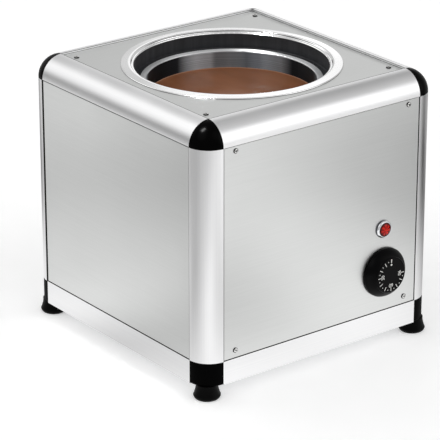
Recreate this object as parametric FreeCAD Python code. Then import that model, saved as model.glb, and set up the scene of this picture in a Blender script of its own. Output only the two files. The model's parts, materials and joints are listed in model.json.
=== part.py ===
"""One-pan chocolate melter: an aluminium edge frame with steel panels round a heated well.

Millimetres, +Z up. The origin is on the table under the middle of the housing.
The control panel faces -Y, so -X is the left side as seen from the front.
"""
import FreeCAD, Part
import math
import os

from FreeCAD import Matrix, Vector

# Housing
width = 310.0
depth = 310.0
height = 300.0
corner_radius = 25.0
foot_height = 16.0
band_height = 26.0

# Frame extrusions
frame_wall = 1.6
lip_thickness = 1.5
lip_margin = 4.5
rail_lip = 12.0
notch_clearance = 0.3
spigot_length = 18.0
spigot_clearance = 0.15
block_edge_round = 2.0

# Sheet panels
panel_thickness = 1.2
panel_inset = 0.5
panel_gap = 1.0
plate_drop = 2.0
plate_gap = 0.5

# Screws of the panels, each place measured from the panel's own edge
screw_radius = 1.5
screw_head_radius = 2.8
screw_head_height = 1.4
screw_head_edge = 0.5
screw_length = 8.0
recess_arm_share = 0.6
recess_slot_share = 0.14
recess_floor_share = 0.4
hole_clearance = 0.5
thread_clearance = 0.05
cutter_overrun = 1.0
panel_screw_inset = 15.5
panel_screw_low = 9.0
panel_screw_high = 5.5
plate_screw_side = 9.0
plate_screw_end = 16.0
base_screw_end = 30.0
stud_radius = 2.0
stud_length = 10.0
stud_inset = 10.0
stud_end = 30.0
nut_across_flats = 7.0
nut_thickness = 3.2

# Air slots of the base plate
slot_length = 40.0
slot_width = 4.0
slot_pitch = 20.0
slot_rows = 6
slot_column_offset = 45.0

# Feet
foot_inset = 14.6
foot_radius = 14.5
foot_neck_radius = 11.8
foot_toe = 2.0
foot_toe_height = 3.6
foot_toe_bow = 0.4
foot_flare_height = 13.0
foot_flare_bow = 0.35
foot_recess_radius = 5.5
foot_recess_depth = 8.0
foot_screw_radius = 2.0
foot_screw_head_radius = 4.0
foot_screw_head_height = 2.4
foot_screw_grip = 12.0

# Well with its rolled rim
well_sheet = 1.0
rim_rail_gap = 11.6
rim_edge_rise = 0.6
rim_edge_bend = 0.6
rim_slope_width = 8.4
rim_crest_bend = 10.0
rim_crest_width = 1.9
rim_step_run = 1.4
rim_step_drop = 2.2
rim_step_bend = 0.7
rim_step_width = 4.1
ledge_width = 9.5
well_floor_gap = 5.0
well_floor_bend = 8.0
rim_bend = 1.3
plate_hole_clearance = 0.3
seal_width = 3.0
seal_thickness = 0.6

# Pan and its filling
pan_sheet = 0.8
pan_side_gap = 3.2
pan_rim_gap = 6.5
pan_rim_drop = 18.6
pan_depth = 196.0
pan_floor_bend = 10.0
pan_rim_bend = 1.4
chocolate_freeboard = 20.4

# Band heater with its clamp
heater_thickness = 3.0
heater_height = 60.0
heater_lift = 30.6
heater_gap = 8.0
lug_thickness = 2.0
lug_reach = 14.0
lug_height = 44.0
clamp_screw_radius = 2.5
clamp_screw_spare = 4.0
clamp_head_radius = 4.2
clamp_head_height = 2.4
clamp_nut_across_flats = 8.0
clamp_inset = 6.0

# Insulation jacket
jacket_thickness = 20.0
jacket_slit = 40.0
jacket_lift = 6.0
jacket_top_gap = 10.2

# Thermostat and knob, placed from the right side of the housing and the bottom band
knob_from_side = 70.0
knob_rise = 45.0
knob_radius = 27.5
knob_face_radius = 19.5
knob_reach = 12.5
knob_edge = 1.6
knob_crown = 0.9
knob_edge_bow = 0.35
knob_wall = 2.2
knob_hub_radius = 6.5
knob_running_gap = 0.8
knob_grip = 9.0
knob_hub_setback = 0.2
spindle_radius = 3.0
spindle_clearance = 0.05
spindle_hole_depth = 16.0
spindle_end_gap = 1.0
spindle_flat = 0.8
bush_radius = 5.5
bush_clearance = 0.3
thermostat_plate_thickness = 1.5
thermostat_plate_length = 42.0
thermostat_plate_height = 23.8
thermostat_body_width = 34.0
thermostat_body_height = 36.0
thermostat_body_depth = 26.0
thermostat_edge_round = 2.8
thermostat_screw_spacing = 28.0
bulb_radius = 3.0
bulb_length = 60.0
bulb_gap = 0.05
capillary_radius = 0.75
capillary_bend = 25.0
clip_width = 8.0
clip_sheet = 0.8
clip_foot = 6.0

# Pilot lamp above the knob
lamp_from_side = 71.5
lamp_above_knob = 49.7
bezel_radius = 10.0
bezel_reach = 2.8
bezel_bow = 0.5
lens_radius = 7.8
lens_reach = 4.2
lens_facets = 12
lens_shoulder = 0.66
lens_shoulder_drop = 0.4
lens_table = 0.3
lens_seat = 1.0
bezel_lip = 0.5
lamp_neck_radius = 6.9
lamp_neck_wall = 0.6
lamp_neck_length = 16.0
lamp_body_length = 12.0
blade_thickness = 0.8
blade_width = 6.3
blade_length = 6.0
blade_spacing = 6.3
lamp_nut_across_flats = 17.0
lamp_nut_thickness = 3.0

# Cable gland at the back
gland_from_side = 65.0
gland_rise = 33.0
gland_thread_radius = 8.0
gland_bore_radius = 4.2
gland_hex = 22.0
gland_hex_thickness = 4.5
gland_reach = 12.5
gland_cap_hex = 19.0
gland_cap_straight = 4.5
gland_nose_radius = 7.8
gland_nose_bow = 0.6
gland_thread_length = 12.0
gland_nut_thickness = 4.0

# Terminal block
terminal_from_side = 65.0
terminal_from_back = 59.0
terminal_poles = 3
terminal_pitch = 11.0
terminal_depth = 18.0
terminal_foot_height = 5.0
terminal_tower = 9.0
terminal_tower_height = 11.0
terminal_hole_radius = 2.0
terminal_hole_depth = 5.0
terminal_ear = 3.0
terminal_tower_inset = 1.0

# Levels and lines that follow from the driving sizes
half_width = width / 2
half_depth = depth / 2
post_x = half_width - corner_radius
post_y = half_depth - corner_radius
band_top = foot_height + band_height
cap_bottom = height - corner_radius
lip_length = panel_screw_inset + lip_margin
panel_seat = panel_inset + panel_thickness
plate_seat = plate_drop + panel_thickness
plate_top = height - plate_drop
floor_plate_top = foot_height + panel_thickness
rim_outer_radius = min(post_x, post_y) - rim_rail_gap
rim_crest_radius = rim_outer_radius - rim_slope_width
rim_step_radius = rim_crest_radius - rim_crest_width
throat_radius = rim_step_radius - rim_step_width
well_radius = throat_radius - ledge_width
well_outside = well_radius + well_sheet
plate_hole_radius = rim_step_radius + well_sheet + plate_hole_clearance
pan_radius = well_radius - pan_side_gap - pan_sheet
pan_rim_radius = throat_radius - pan_rim_gap
pan_rim_top = height - pan_rim_drop
pan_rest = pan_rim_top - pan_sheet
pan_bottom = pan_rim_top - pan_depth
chocolate_level = pan_rim_top - chocolate_freeboard
well_floor_top = pan_bottom - well_floor_gap
well_floor_under = well_floor_top - well_sheet
heater_outside = well_outside + heater_thickness
heater_bottom = well_floor_under + heater_lift
heater_top = heater_bottom + heater_height
jacket_bottom = well_floor_under + jacket_lift
jacket_top = pan_rest - well_sheet - jacket_top_gap
bulb_z = well_floor_under - bulb_gap - bulb_radius
thermostat_back = panel_seat + thermostat_plate_thickness + thermostat_body_depth
knob_x = half_width - knob_from_side
knob_z = band_top + knob_rise
lamp_x = half_width - lamp_from_side
lamp_z = knob_z + lamp_above_knob
gland_x = half_width - gland_from_side
gland_z = band_top + gland_rise
terminal_x = half_width - terminal_from_side
terminal_y = half_depth - terminal_from_back
corners = {
    "front_left": (-1, -1),
    "front_right": (1, -1),
    "back_left": (-1, 1),
    "back_right": (1, 1),
}
sides = {
    "front": (Vector(0, -1, 0), half_depth, post_x),
    "back": (Vector(0, 1, 0), half_depth, post_x),
    "left": (Vector(-1, 0, 0), half_width, post_y),
    "right": (Vector(1, 0, 0), half_width, post_y),
}
up = Vector(0, 0, 1)
centre = Vector(0, 0, 0)


def laid(shape, origin, u, v):
    """The shape with its local x, y and z turned to u, v and u cross v, and moved to origin."""
    w = u.cross(v)
    turn = Matrix(
        u.x, v.x, w.x, origin.x,
        u.y, v.y, w.y, origin.y,
        u.z, v.z, w.z, origin.z,
        0, 0, 0, 1,
    )
    return shape.transformed(turn)


def facing(shape, origin, outward):
    """The shape with its local z turned to a horizontal outward direction and its y to up."""
    return laid(shape, origin, up.cross(outward), up)


def box(x0, x1, y0, y1, z0, z1):
    """A box between two corners."""
    return Part.makeBox(x1 - x0, y1 - y0, z1 - z0, Vector(x0, y0, z0))


def rod(radius, z0, z1, x=0.0, y=0.0):
    """A cylinder along local z."""
    return Part.makeCylinder(radius, z1 - z0, Vector(x, y, z0))


def outline(start, *steps):
    """Closed wire in the XZ plane: a point is a straight side, a pair of points an arc."""
    edges = []
    first = Vector(start[0], 0, start[1])
    here = first
    for step in steps:
        if isinstance(step[0], tuple):
            middle = Vector(step[0][0], 0, step[0][1])
            end = Vector(step[1][0], 0, step[1][1])
            edges.append(Part.Arc(here, middle, end).toShape())
        else:
            end = Vector(step[0], 0, step[1])
            edges.append(Part.LineSegment(here, end).toShape())
        here = end
    edges.append(Part.LineSegment(here, first).toShape())
    return Part.Wire(edges)


def bowed(a, b, rise):
    """An arc step from a to b whose middle stands rise to the right of the straight line."""
    run = b[0] - a[0]
    climb = b[1] - a[1]
    span = math.hypot(run, climb)
    middle = ((a[0] + b[0]) / 2 + climb / span * rise, (a[1] + b[1]) / 2 - run / span * rise)
    return (middle, b)


def domed(edge_radius, edge_z, top_z):
    """An arc step from a round edge up to the axis, level where it meets the axis."""
    rise = top_z - edge_z
    ball = (edge_radius ** 2 + rise ** 2) / (2 * rise)
    half_angle = math.asin(edge_radius / ball) / 2
    middle = (ball * math.sin(half_angle), top_z - ball + ball * math.cos(half_angle))
    return (middle, (0, top_z))


def turned(wire):
    """A closed wire in the XZ plane turned once round the z axis."""
    return Part.Face(wire).revolve(centre, up, 360)


def hexagon(across_flats, z0, z1, hole_radius):
    """A hexagonal nut along local z."""
    reach = across_flats / math.sqrt(3)
    corner_angles = [math.radians(60 * i) for i in range(7)]
    points = [Vector(reach * math.cos(a), reach * math.sin(a), z0) for a in corner_angles]
    blank = Part.Face(Part.makePolygon(points)).extrude(Vector(0, 0, z1 - z0))
    return blank.cut(rod(hole_radius, z0 - cutter_overrun, z1 + cutter_overrun))


def bent_side(points, bends, offset):
    """One face of a bent sheet: its middle line moved sideways, every corner an arc."""
    lines = []
    for a, b in zip(points, points[1:]):
        along = (b - a).normalize()
        left = Vector(-along.z, 0, along.x)
        lines.append((a + left * offset, b + left * offset, along))
    edges = []
    here = lines[0][0]
    for (_, _, before), (start, _, after), bend in zip(lines, lines[1:], bends):
        turn = before.getAngle(after)
        left_turn = before.z * after.x - before.x * after.z < 0
        side = 1 if left_turn else -1
        radius = bend - side * offset
        across = Vector(-after.z, 0, after.x)
        corner = here + before * ((start - here).dot(across) / before.dot(across))
        reach = radius * math.tan(turn / 2)
        arc_start = corner - before * reach
        arc_end = corner + after * reach
        inward = (after - before).normalize()
        middle = corner + inward * (radius / math.cos(turn / 2) - radius)
        edges.append(Part.LineSegment(here, arc_start).toShape())
        edges.append(Part.Arc(arc_start, middle, arc_end).toShape())
        here = arc_end
    edges.append(Part.LineSegment(here, lines[-1][1]).toShape())
    return edges


def bent_sheet(corners_rz, bends, thickness):
    """A sheet of even thickness with rounded bends, turned once round the z axis."""
    points = [Vector(r, 0, z) for r, z in corners_rz]
    one = bent_side(points, bends, thickness / 2)
    other = bent_side(points, bends, -thickness / 2)
    ends = [
        Part.LineSegment(one[-1].lastVertex().Point, other[-1].lastVertex().Point).toShape(),
        Part.LineSegment(other[0].firstVertex().Point, one[0].firstVertex().Point).toShape(),
    ]
    wire = Part.Wire(Part.__sortEdges__(one + other + ends))
    return turned(wire)


def chamber_face(clearance):
    """The hollow of the round-edge extrusion, or a plug for it where clearance is above 0."""
    arc = corner_radius - frame_wall - clearance
    wall = frame_wall + clearance
    reach = math.sqrt(arc ** 2 - wall ** 2)
    diagonal = arc / math.sqrt(2)
    low = Vector(-reach, -wall, 0)
    side = Vector(-wall, -reach, 0)
    edges = [
        Part.Arc(low, Vector(-diagonal, -diagonal, 0), side).toShape(),
        Part.LineSegment(side, Vector(-wall, -wall, 0)).toShape(),
        Part.LineSegment(Vector(-wall, -wall, 0), low).toShape(),
    ]
    return Part.Face(Part.Wire(edges))


def edge_extrusion(length, seat_u, seat_v, lip_u, lip_v, notch_u, notch_v):
    """Quarter-round hollow extrusion with two lips that lie behind the sheets beside it.

    The arc centre is the local origin and the arc runs from -x to -y. The lip along x lies
    seat_u behind the edge and the lip along y seat_v. Each lip stops notch short of both ends.
    """
    r = corner_radius
    diagonal = r / math.sqrt(2)
    begin = -length / 2
    points = [
        Vector(0, -r, 0),
        centre,
        Vector(-r, 0, 0),
    ]
    edges = [
        Part.Arc(points[2], Vector(-diagonal, -diagonal, 0), points[0]).toShape(),
        Part.LineSegment(points[0], points[1]).toShape(),
        Part.LineSegment(points[1], points[2]).toShape(),
    ]
    tube = Part.Face(Part.Wire(edges)).extrude(Vector(0, 0, length))
    tube.translate(Vector(0, 0, begin))
    hollow = chamber_face(0).extrude(Vector(0, 0, length))
    hollow.translate(Vector(0, 0, begin))
    flange_u = box(
        -frame_wall, lip_u,
        seat_u - r, seat_u - r + lip_thickness,
        begin + notch_u, -begin - notch_u,
    )
    flange_v = box(
        seat_v - r, seat_v - r + lip_thickness,
        -frame_wall, lip_v,
        begin + notch_v, -begin - notch_v,
    )
    return tube.fuse([flange_u, flange_v]).cut(hollow).removeSplitter()


def screw(radius, head_radius, head_height, length, recess=True):
    """Domed cross-recess screw: its head stands on local z = 0 and its shank points down."""
    head = turned(outline(
        (0, -length),
        (radius, -length),
        (radius, 0),
        (head_radius, 0),
        (head_radius, screw_head_edge),
        domed(head_radius, screw_head_edge, head_height),
    ))
    if not recess:
        return head
    arm = head_radius * recess_arm_share
    slot = head_radius * recess_slot_share
    low = head_height * recess_floor_share
    high = head_height + cutter_overrun
    cross = [
        box(-arm, arm, -slot, slot, low, high),
        box(-slot, slot, -arm, arm, low, high),
    ]
    return head.cut(cross)


def panel_screw():
    """The one kind of screw that holds every sheet."""
    return screw(screw_radius, screw_head_radius, screw_head_height, screw_length)


def side_origin(name, along, z, behind=0.0):
    """A point on the outer plane of a side, or behind it; along runs to the viewer's right."""
    outward, reach, _ = sides[name]
    right = up.cross(outward)
    return outward * (reach - behind) + right * along + up * z


def cut_holes(sheet, name, places, radius):
    """Round holes through a sheet or lip on one side of the housing."""
    inner_end = -panel_seat - lip_thickness - cutter_overrun
    for along, z in places:
        hole = facing(rod(radius, inner_end, cutter_overrun), side_origin(name, along, z), sides[name][0])
        sheet = sheet.cut(hole)
    return sheet


def panel_screw_places(name):
    """Four screws near the corners of the front or back panel, as (along, z)."""
    across = sides[name][2] - panel_screw_inset
    return [(s * across, z) for s in (-1, 1)
            for z in (band_top + panel_screw_low, cap_bottom - panel_screw_high)]


def stud_places(name):
    """Four welded studs on a side panel, as (along, z)."""
    across = sides[name][2] - stud_inset
    return [(s * across, z) for s in (-1, 1) for z in (band_top + stud_end, cap_bottom - stud_end)]


def plate_screw_places():
    """Four screws of the top plate, as (x, y)."""
    return [(sx * (post_x - plate_screw_side), sy * (post_y - plate_screw_end))
            for sx in (-1, 1) for sy in (-1, 1)]


def base_screw_places():
    """Four screws of the base plate, as (x, y), in the middle of the side rails' ledges."""
    return [(sx * (post_x - rail_lip / 2), sy * (post_y - base_screw_end))
            for sx in (-1, 1) for sy in (-1, 1)]


def corner_post(sx, sy):
    """Upright extrusion between the bottom corner block and the top cap."""
    length = cap_bottom - band_top
    middle = Vector(sx * post_x, sy * post_y, (cap_bottom + band_top) / 2)
    post = edge_extrusion(length, panel_seat, panel_seat, lip_length, lip_length, 0, 0)
    post = laid(post, middle, Vector(-sx, 0, 0), Vector(0, -sy, 0))
    face = "front" if sy < 0 else "back"
    flank = "left" if sx < 0 else "right"
    post = cut_holes(post, face, panel_screw_places(face), screw_radius + thread_clearance)
    return cut_holes(post, flank, stud_places(flank), stud_radius + thread_clearance)


def top_rail(name):
    """Level extrusion along one top edge: its lips lie behind the panel and under the plate."""
    outward, reach, half = sides[name]
    crosses = name in ("front", "back")
    plate_notch = lip_length + notch_clearance if crosses else 0
    rail = edge_extrusion(
        2 * half, plate_seat, panel_seat, lip_length, rail_lip,
        plate_notch, lip_length + notch_clearance,
    )
    origin = outward * (reach - corner_radius) + up * cap_bottom
    rail = laid(rail, origin, outward * -1, up * -1)
    for x, y in plate_screw_places():
        rail = rail.cut(rod(screw_radius + thread_clearance, cap_bottom, height, x, y))
    return rail


def bottom_rail(name):
    """Flat-faced box section along one bottom edge, with a panel lip and a base-plate ledge."""
    outward, reach, half = sides[name]
    deep = corner_radius
    tall = band_height
    crosses = name in ("front", "back")
    ledge_notch = rail_lip + notch_clearance if crosses else 0
    lip_notch = lip_length + notch_clearance
    tube = box(0, deep, 0, tall, -half, half)
    inside = box(frame_wall, deep - frame_wall, frame_wall, tall - frame_wall, -half, half)
    panel_lip = box(
        panel_seat, panel_seat + lip_thickness, tall - frame_wall, tall + rail_lip,
        lip_notch - half, half - lip_notch,
    )
    ledge = box(
        deep - frame_wall, deep + rail_lip,
        panel_thickness, panel_thickness + lip_thickness,
        ledge_notch - half, half - ledge_notch,
    )
    rail = tube.fuse([panel_lip, ledge]).cut(inside).removeSplitter()
    rail = laid(rail, outward * reach + up * foot_height, outward * -1, up)
    for x, y in base_screw_places():
        rail = rail.cut(rod(screw_radius + thread_clearance, foot_height, band_top, x, y))
    return rail


def plug(start, end):
    """Stub that fills the hollow of an extrusion with a little clearance."""
    stub = chamber_face(spigot_clearance).extrude(Vector(0, 0, end - start))
    stub.translate(Vector(0, 0, start))
    return stub


def mirrored_corner(shape, sx, sy):
    """A piece drawn at the front left corner, carried over to another corner."""
    if sx > 0:
        shape = shape.mirror(centre, Vector(1, 0, 0))
    if sy > 0:
        shape = shape.mirror(centre, Vector(0, 1, 0))
    return shape


def top_cap(sx, sy):
    """Moulded corner: an eighth of a ball with a plug for the post and for each top rail."""
    origin = Vector(-post_x, -post_y, cap_bottom)
    ball = Part.makeSphere(corner_radius, centre, up, 0, 90, 90)
    ball.rotate(centre, up, 180)
    ball.translate(origin)
    into_post = laid(plug(-spigot_length, 0), origin, Vector(1, 0, 0), Vector(0, 1, 0))
    into_front = laid(plug(-spigot_length, 0), origin, Vector(0, 1, 0), Vector(0, 0, -1))
    into_left = laid(plug(0, spigot_length), origin, Vector(1, 0, 0), Vector(0, 0, -1))
    cap = ball.fuse([into_post, into_front, into_left]).removeSplitter()
    return mirrored_corner(cap, sx, sy)


def corner_block(sx, sy):
    """Moulded bottom corner: joins two bottom rails and a post, and takes the foot's screw."""
    r = corner_radius
    origin = Vector(-post_x, -post_y, foot_height)
    quarter = rod(r, 0, band_height).common(box(-r, 0, -r, 0, 0, band_height))
    arcs = [e for e in quarter.Edges if e.Curve.TypeId == "Part::GeomCircle"]
    rim = [e for e in arcs if e.CenterOfMass.z < band_height / 2]
    quarter = quarter.makeFillet(block_edge_round, rim)
    quarter.translate(origin)
    into_post = laid(plug(0, spigot_length), origin + up * band_height, Vector(1, 0, 0), Vector(0, 1, 0))
    inset = frame_wall + spigot_clearance
    low = foot_height + inset
    high = band_top - inset
    into_front = box(
        -post_x, spigot_length - post_x,
        inset - half_depth, -post_y - inset, low, high,
    )
    into_left = box(
        inset - half_width, -post_x - inset,
        -post_y, spigot_length - post_y, low, high,
    )
    block = quarter.fuse([into_post, into_front, into_left]).removeSplitter()
    foot_x = foot_inset - half_width
    foot_y = foot_inset - half_depth
    bore = rod(
        foot_screw_radius + thread_clearance,
        foot_height - cutter_overrun, foot_height + foot_screw_grip + cutter_overrun, foot_x, foot_y,
    )
    return mirrored_corner(block.cut(bore), sx, sy)


def foot_place(sx, sy):
    """The point on the table under the middle of a foot."""
    return Vector(sx * (half_width - foot_inset), sy * (half_depth - foot_inset), 0)


def foot(sx, sy):
    """Bell-shaped moulded foot, hollow below for the head of its screw."""
    bore = foot_screw_radius + hole_clearance / 2
    toe = (foot_radius - foot_toe, 0)
    widest = (foot_radius, foot_toe_height)
    neck = (foot_neck_radius, foot_flare_height)
    bell = turned(outline(
        (foot_recess_radius, 0),
        toe,
        bowed(toe, widest, foot_toe_bow),
        bowed(widest, neck, -foot_flare_bow),
        (foot_neck_radius, foot_height),
        (bore, foot_height),
        (bore, foot_recess_depth),
        (foot_recess_radius, foot_recess_depth),
    ))
    bell.translate(foot_place(sx, sy))
    return bell


def foot_screws():
    """Four screws that pull the feet against the corner blocks from below."""
    length = foot_height - foot_recess_depth + foot_screw_grip
    fixings = []
    for sx, sy in corners.values():
        seat = foot_place(sx, sy) + up * foot_recess_depth
        fixing = screw(foot_screw_radius, foot_screw_head_radius, foot_screw_head_height, length)
        fixings.append(laid(fixing, seat, Vector(1, 0, 0), Vector(0, -1, 0)))
    return Part.makeCompound(fixings)


def side_sheet(name):
    """The bare sheet of one side, between the posts and the rails."""
    across = sides[name][2] - panel_gap
    sheet = box(
        -across, across, band_top + panel_gap, cap_bottom - plate_gap,
        -panel_seat, -panel_inset,
    )
    return facing(sheet, sides[name][0] * sides[name][1], sides[name][0])


def front_panel():
    """Control panel: screw holes, the bush hole with its two screws, and the lamp hole."""
    sheet = cut_holes(side_sheet("front"), "front", panel_screw_places("front"),
                      screw_radius + hole_clearance)
    sheet = cut_holes(sheet, "front", [(knob_x, knob_z)], bush_radius + bush_clearance)
    sheet = cut_holes(sheet, "front", thermostat_screw_places(), screw_radius + hole_clearance)
    return cut_holes(sheet, "front", [(lamp_x, lamp_z)], lamp_neck_radius + bush_clearance)


def back_panel():
    """Back sheet: screw holes and the hole of the cable gland."""
    sheet = cut_holes(side_sheet("back"), "back", panel_screw_places("back"),
                      screw_radius + hole_clearance)
    return cut_holes(sheet, "back", [(-gland_x, gland_z)], gland_thread_radius + bush_clearance)


def flank_panel(name):
    """Side sheet with four studs welded to its inner face, so that no screw shows."""
    sheet = side_sheet(name)
    for along, z in stud_places(name):
        stud = rod(stud_radius, -panel_seat - stud_length, -panel_seat + panel_thickness / 2)
        sheet = sheet.fuse(facing(stud, side_origin(name, along, z), sides[name][0]))
    return sheet


def flank_nuts():
    """Eight nuts on the welded studs, against the inner faces of the post lips."""
    nuts = []
    for name in ("left", "right"):
        for along, z in stud_places(name):
            seat = -panel_seat - lip_thickness
            nut = hexagon(nut_across_flats, seat - nut_thickness, seat, stud_radius + thread_clearance)
            nuts.append(facing(nut, side_origin(name, along, z), sides[name][0]))
    return Part.makeCompound(nuts)


def side_screws(name, places, behind):
    """A set of panel screws on one side, their heads seated behind the outer plane."""
    fixings = []
    for along, z in places:
        fixings.append(facing(panel_screw(), side_origin(name, along, z, behind), sides[name][0]))
    return Part.makeCompound(fixings)


def top_plate():
    """Square sheet between the top rails, with the opening that the well hangs in."""
    x = post_x - plate_gap
    y = post_y - plate_gap
    sheet = box(-x, x, -y, y, plate_top - panel_thickness, plate_top)
    sheet = sheet.cut(rod(plate_hole_radius, cap_bottom, height))
    for px, py in plate_screw_places():
        sheet = sheet.cut(rod(screw_radius + hole_clearance, cap_bottom, height, px, py))
    return sheet


def top_plate_screws():
    """Four screws through the top plate into the lips of the side rails."""
    fixings = []
    for x, y in plate_screw_places():
        fixings.append(panel_screw().translated(Vector(x, y, plate_top)))
    return Part.makeCompound(fixings)


def base_plate():
    """Square sheet under the ledges of the bottom rails, with rows of air slots."""
    x = post_x - plate_gap
    y = post_y - plate_gap
    sheet = box(-x, x, -y, y, foot_height, floor_plate_top)
    half_slot = (slot_length - slot_width) / 2
    low = foot_height - cutter_overrun
    high = floor_plate_top + cutter_overrun
    slots = []
    for column in (-slot_column_offset, slot_column_offset):
        for row in range(slot_rows):
            mid = (row - (slot_rows - 1) / 2) * slot_pitch
            slot = box(column - half_slot, column + half_slot,
                       mid - slot_width / 2, mid + slot_width / 2, low, high)
            ends = [rod(slot_width / 2, low, high, column + s * half_slot, mid) for s in (-1, 1)]
            slots.append(slot.fuse(ends))
    sheet = sheet.cut(slots)
    for px, py in base_screw_places():
        sheet = sheet.cut(rod(screw_radius + hole_clearance, low, high, px, py))
    return sheet


def base_plate_screws():
    """Four screws from below through the base plate into the ledges of the side rails."""
    fixings = []
    for x, y in base_screw_places():
        seat = Vector(x, y, foot_height)
        fixings.append(laid(panel_screw(), seat, Vector(1, 0, 0), Vector(0, -1, 0)))
    return Part.makeCompound(fixings)


def well():
    """Deep-drawn well: rolled rim, step, throat, ledge for the pan, wall and floor."""
    half = well_sheet / 2
    crest = height - half
    edge = rim_outer_radius - half
    throat = throat_radius + half
    step = crest - rim_step_drop
    ledge = pan_rest - half
    wall = well_radius + half
    floor = well_floor_top - half
    middle_line = [
        (edge, plate_top),
        (edge, plate_top + rim_edge_rise),
        (rim_crest_radius, crest),
        (rim_step_radius, crest),
        (rim_step_radius - rim_step_run, step),
        (throat, step),
        (throat, ledge),
        (wall, ledge),
        (wall, floor),
        (0, floor),
    ]
    bends = [
        rim_edge_bend, rim_crest_bend, rim_bend, rim_step_bend,
        rim_bend, rim_bend, rim_bend, well_floor_bend,
    ]
    return bent_sheet(middle_line, bends, well_sheet)


def well_seal():
    """Silicone ring in the hollow between the rim of the well and the top plate."""
    ring = rod(plate_hole_radius + seal_width, plate_top, plate_top + seal_thickness)
    return ring.cut(rod(plate_hole_radius, plate_top - cutter_overrun, height))


def pan():
    """Removable round pan with a flat rim that rests on the ledge of the well."""
    half = pan_sheet / 2
    wall = pan_radius + half
    rim = pan_rim_top - half
    floor = pan_bottom + half
    middle_line = [(pan_rim_radius, rim), (wall, rim), (wall, floor), (0, floor)]
    return bent_sheet(middle_line, [pan_rim_bend, pan_floor_bend], pan_sheet)


def chocolate():
    """The melted filling: what the pan holds below its level."""
    block = rod(pan_radius + pan_sheet / 2, pan_bottom + pan_sheet / 2, chocolate_level)
    parts = block.cut(pan()).Solids
    return max(parts, key=lambda part: part.Volume)


def band_heater():
    """Steel-clad band clamped round the well, with two lugs bent out at its gap."""
    below = heater_bottom - cutter_overrun
    above = heater_top + cutter_overrun
    band = rod(heater_outside, heater_bottom, heater_top).cut(rod(well_outside, below, above))
    half_gap = heater_gap / 2
    band = band.cut(box(-half_gap, half_gap, -heater_outside - cutter_overrun, 0, below, above))
    middle = (heater_bottom + heater_top) / 2
    low = middle - lug_height / 2
    high = middle + lug_height / 2
    root = -well_outside
    tip = -heater_outside - lug_reach
    right_lug = box(half_gap, half_gap + lug_thickness, tip, root, low, high)
    band = band.fuse([right_lug, right_lug.mirror(centre, Vector(1, 0, 0))])
    drill_reach = half_gap + lug_thickness + cutter_overrun
    drill = rod(clamp_screw_radius + hole_clearance / 2, -drill_reach, drill_reach)
    return band.cut(facing(drill, clamp_place(), Vector(1, 0, 0))).removeSplitter()


def clamp_place():
    """The middle of the heater's clamp screw."""
    return Vector(0, clamp_inset - heater_outside - lug_reach, (heater_bottom + heater_top) / 2)


def clamp_screw():
    """Screw and nut that draw the two lugs of the heater together."""
    seat = heater_gap / 2 + lug_thickness
    head = screw(clamp_screw_radius, clamp_head_radius, clamp_head_height,
                 2 * seat + clamp_screw_spare + nut_thickness, recess=False)
    nut = hexagon(clamp_nut_across_flats, -seat - nut_thickness, -seat,
                  clamp_screw_radius + thread_clearance)
    head.translate(up * seat)
    return facing(Part.makeCompound([head, nut]), clamp_place(), Vector(1, 0, 0))


def insulation_jacket():
    """Mineral-wool jacket round the heater, open along a slit where the lugs stand out."""
    outside = heater_outside + jacket_thickness
    below = jacket_bottom - cutter_overrun
    above = jacket_top + cutter_overrun
    ring = rod(outside, jacket_bottom, jacket_top).cut(rod(heater_outside, below, above))
    slit = box(-jacket_slit / 2, jacket_slit / 2, -outside - cutter_overrun, 0, below, above)
    return ring.cut(slit)


def thermostat_screw_places():
    """The two fixing screws of the thermostat, hidden under the knob, as (along, z)."""
    return [(knob_x + s * thermostat_screw_spacing / 2, knob_z) for s in (-1, 1)]


def thermostat_body():
    """Thermostat: fixing plate, housing behind it, and the bush that carries the spindle."""
    plate_back = -panel_seat - thermostat_plate_thickness
    plate_x = thermostat_plate_length / 2
    plate_y = thermostat_plate_height / 2
    body_x = thermostat_body_width / 2
    body_y = thermostat_body_height / 2
    plate = box(-plate_x, plate_x, -plate_y, plate_y, plate_back, -panel_seat)
    housing = box(-body_x, body_x, -body_y, body_y, -thermostat_back, plate_back)
    long_edges = [e for e in housing.Edges if e.BoundBox.ZLength > e.BoundBox.XLength + e.BoundBox.YLength]
    housing = housing.makeFillet(thermostat_edge_round, long_edges)
    bush = rod(bush_radius, -panel_seat, -panel_inset)
    body = plate.fuse([housing, bush])
    body = body.cut(rod(spindle_radius + spindle_clearance, -spindle_hole_depth, 0))
    for s in (-1, 1):
        body = body.cut(rod(screw_radius + thread_clearance, -panel_seat - screw_length, 0,
                            s * thermostat_screw_spacing / 2, 0))
    return facing(body.removeSplitter(), side_origin("front", knob_x, knob_z), sides["front"][0])


def flatted_shaft(low, flat_from):
    """The end of the spindle: round, with one flat from flat_from to the tip."""
    beside = spindle_radius + cutter_overrun
    flat_depth = spindle_radius - spindle_flat
    flat = box(-beside, beside, flat_depth, beside, flat_from, knob_grip + cutter_overrun)
    return rod(spindle_radius, low, knob_grip).cut(flat)


def thermostat_spindle():
    """Spindle of the thermostat with the flat that the knob grips."""
    spindle = flatted_shaft(spindle_end_gap - spindle_hole_depth, 0)
    return facing(spindle, side_origin("front", knob_x, knob_z), sides["front"][0])


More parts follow.
